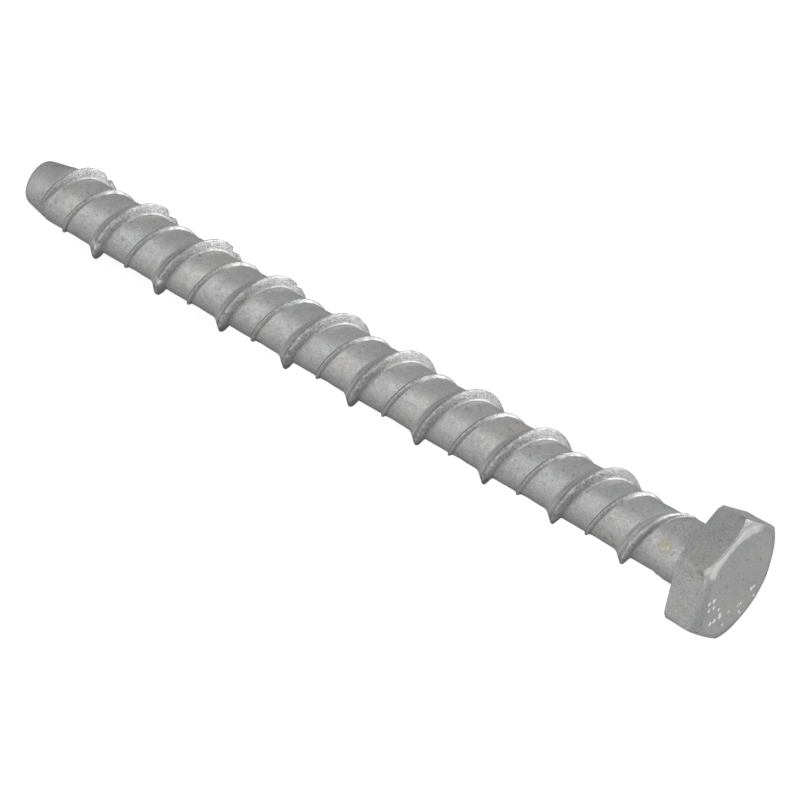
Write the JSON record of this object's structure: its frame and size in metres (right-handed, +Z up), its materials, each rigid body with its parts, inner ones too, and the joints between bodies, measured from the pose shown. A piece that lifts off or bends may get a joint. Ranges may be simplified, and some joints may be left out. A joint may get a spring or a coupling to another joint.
{
  "type": "concrete screw",
  "caption": "Hexagon-head screw for concrete with a high cutting thread, a low guide thread and a tapered tip, in hot-dip galvanised steel.",
  "frame": {"origin": "on the ground under the middle of the screw, which lies on one flat of its head and on its high thread", "axes": "+X from the tip towards the head, +Z up, Y across the screw; the screw's own axis rises 1.5 degrees from tip to head"},
  "size_m": [0.1254, 0.0196, 0.0171],
  "materials": {
    "galvanised_steel": "hot-dip galvanised, matt to satin mid grey with a soft mottle, small dark pits and bright rough zinc on the thread"
  },
  "bodies": {
    "root": {"concrete_screw": "galvanised_steel"}
  },
  "joints": []
}
